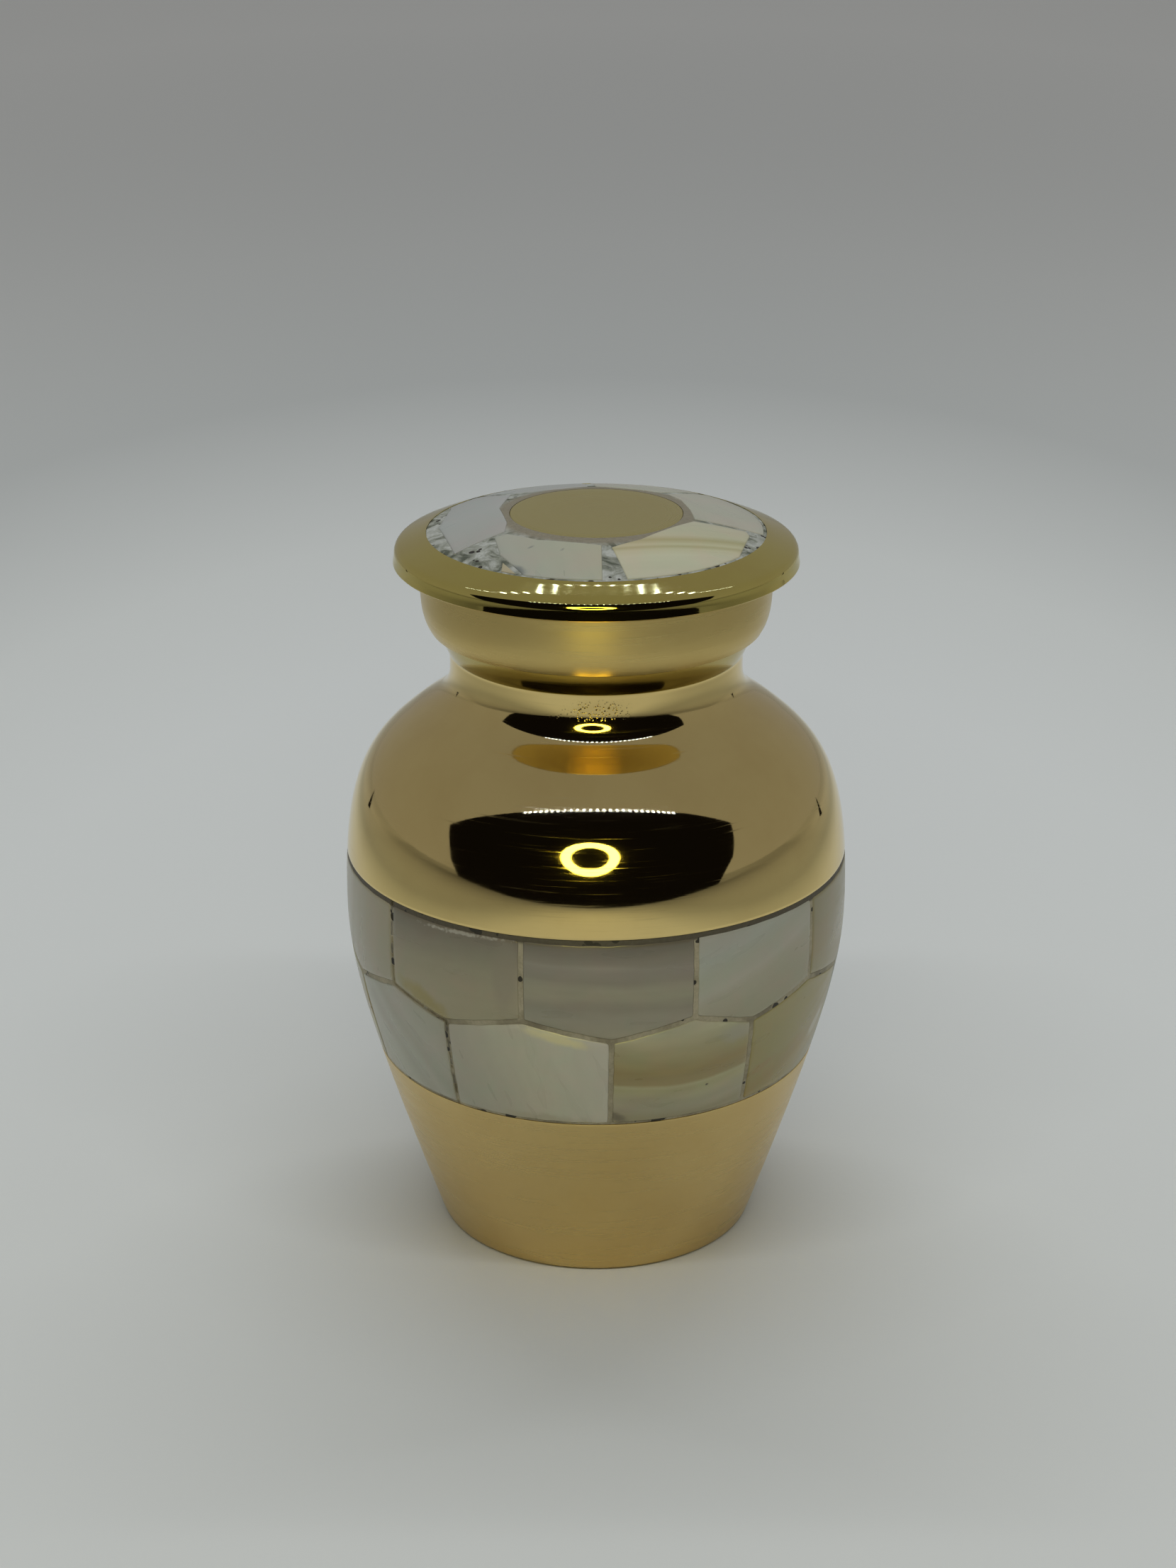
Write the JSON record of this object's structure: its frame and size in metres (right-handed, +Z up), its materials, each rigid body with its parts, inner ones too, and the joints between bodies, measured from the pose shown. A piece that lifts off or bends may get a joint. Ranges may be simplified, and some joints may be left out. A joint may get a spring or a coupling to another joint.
{
  "type": "cremation urn",
  "caption": "Small round-shouldered brass urn with a wide-flanged lid, a band of mother-of-pearl tiles round the shoulder and a ring of them on the lid.",
  "frame": {"origin": "centre of the underside", "axes": "+Z up along the urn's axis; the side seen in the picture faces -Y"},
  "size_m": [0.0508, 0.0508, 0.0753],
  "materials": {
    "brass": "turned and polished, satin on the lower body, collar and disc",
    "resin": "cast resin, rubbed flat",
    "nacre_white": "polished mother-of-pearl, pearly white",
    "nacre_grey": "polished mother-of-pearl, pale grey",
    "nacre_cream": "polished mother-of-pearl, cream",
    "nacre_gold": "polished mother-of-pearl, yellow to olive"
  },
  "bodies": {
    "root": {"urn_body": "brass", "lid": "brass", "band_resin": "resin", "lid_resin": "resin", "lid_chip": "nacre_cream", "upper_tile_1": "nacre_cream", "upper_tile_2": "nacre_grey", "upper_tile_3": "nacre_grey", "upper_tile_4": "nacre_grey", "upper_tile_5": "nacre_cream", "upper_tile_6": "nacre_cream", "upper_tile_7": "nacre_grey", "upper_tile_8": "nacre_grey", "upper_tile_9": "nacre_grey", "upper_tile_10": "nacre_cream", "lower_tile_1": "nacre_white", "lower_tile_2": "nacre_gold", "lower_tile_3": "nacre_gold", "lower_tile_4": "nacre_white", "lower_tile_5": "nacre_white", "lower_tile_6": "nacre_white", "lower_tile_7": "nacre_gold", "lower_tile_8": "nacre_gold", "lower_tile_9": "nacre_white", "lower_tile_10": "nacre_white", "lid_tile_1": "nacre_white", "lid_tile_2": "nacre_white", "lid_tile_3": "nacre_cream", "lid_tile_4": "nacre_white", "lid_tile_5": "nacre_white", "lid_tile_6": "nacre_white"}
  },
  "joints": []
}
